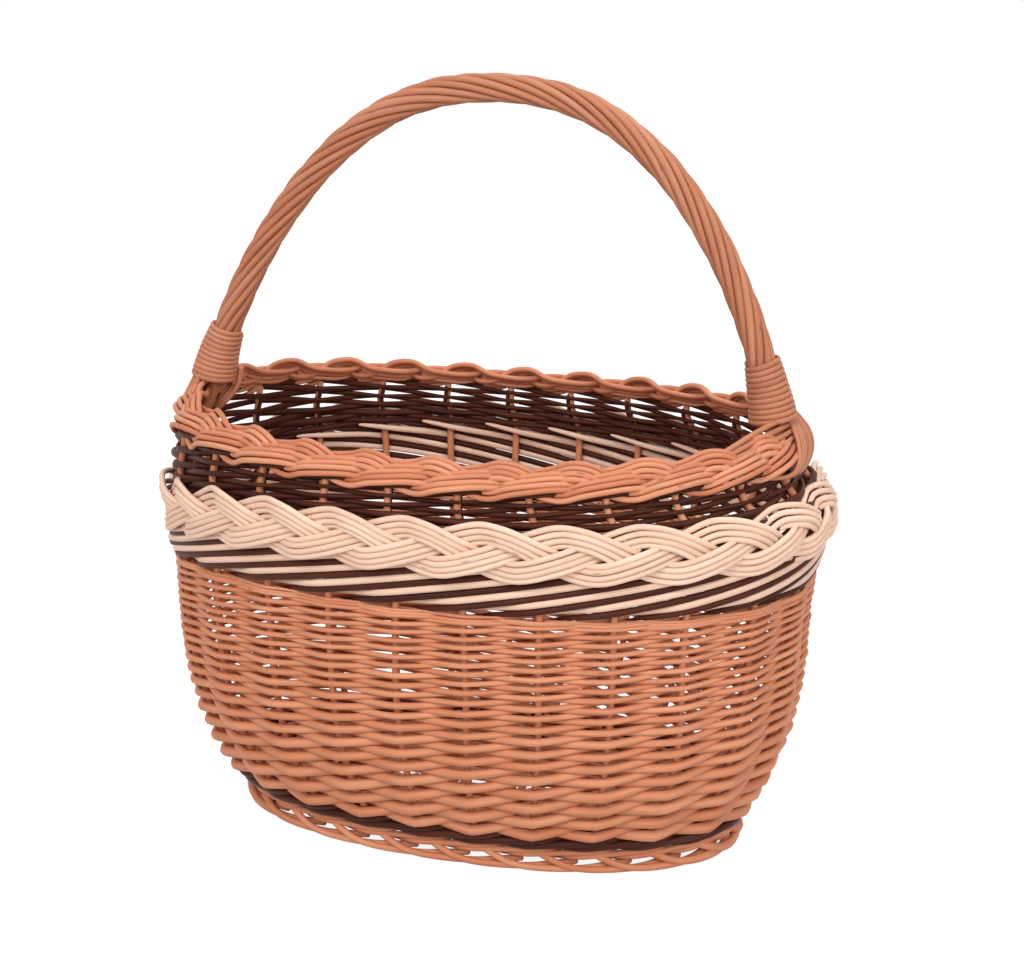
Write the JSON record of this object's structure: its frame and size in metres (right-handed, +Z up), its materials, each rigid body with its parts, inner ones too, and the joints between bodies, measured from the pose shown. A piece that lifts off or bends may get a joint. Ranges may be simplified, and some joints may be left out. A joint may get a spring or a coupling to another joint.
{
  "type": "oval wicker basket",
  "caption": "Oval open hand basket woven of willow rods on upright stakes, with a plaited belt and rim, an open foot border and a fixed twisted arch handle bound at both ends.",
  "frame": {"origin": "on the floor under the middle of the oval", "axes": "+X along the long axis of the oval, +Y across it, +Z up through the mouth and the handle"},
  "size_m": [0.42, 0.27, 0.4657],
  "materials": {
    "buff_willow": "boiled and peeled willow rod, orange tan, satin",
    "peeled_willow": "peeled white willow rod, cream, satin",
    "dark_willow": "dark brown stained willow rod, satin"
  },
  "bodies": {
    "root": {"foot_border": "buff_willow", "base_weave": "buff_willow", "base_stick_1": "buff_willow", "base_stick_2": "buff_willow", "base_stick_3": "buff_willow", "stake_01": "buff_willow", "stake_02": "buff_willow", "stake_03": "buff_willow", "stake_04": "buff_willow", "stake_05": "buff_willow", "stake_06": "buff_willow", "stake_07": "buff_willow", "stake_08": "buff_willow", "stake_09": "buff_willow", "stake_10": "buff_willow", "stake_11": "buff_willow", "stake_12": "buff_willow", "stake_13": "buff_willow", "stake_14": "buff_willow", "stake_15": "buff_willow", "stake_16": "buff_willow", "stake_17": "buff_willow", "stake_18": "buff_willow", "stake_19": "buff_willow", "stake_20": "buff_willow", "stake_21": "buff_willow", "stake_22": "buff_willow", "stake_23": "buff_willow", "stake_24": "buff_willow", "side_weave_1": "buff_willow", "side_weave_2": "buff_willow", "side_weave_3": "buff_willow", "side_weave_4": "buff_willow", "side_weave_5": "buff_willow", "side_weave_6": "buff_willow", "side_weave_7": "buff_willow", "side_weave_8": "buff_willow", "side_weave_9": "buff_willow", "rim_strand_1": "buff_willow", "rim_strand_2": "buff_willow", "rim_strand_3": "buff_willow", "handle_core": "buff_willow", "handle_rod_1": "buff_willow", "handle_rod_2": "buff_willow", "handle_rod_3": "buff_willow", "handle_rod_4": "buff_willow", "handle_rod_5": "buff_willow", "handle_rod_6": "buff_willow", "binding_right": "buff_willow", "binding_left": "buff_willow", "handle_tail_right": "buff_willow", "handle_tail_left": "buff_willow", "slanted_band": "peeled_willow", "belt_strand_1": "peeled_willow", "belt_strand_2": "peeled_willow", "belt_strand_3": "peeled_willow", "upsett_ring": "dark_willow", "dark_weave_1": "dark_willow", "dark_weave_2": "dark_willow", "dark_weave_3": "dark_willow"}
  },
  "joints": []
}
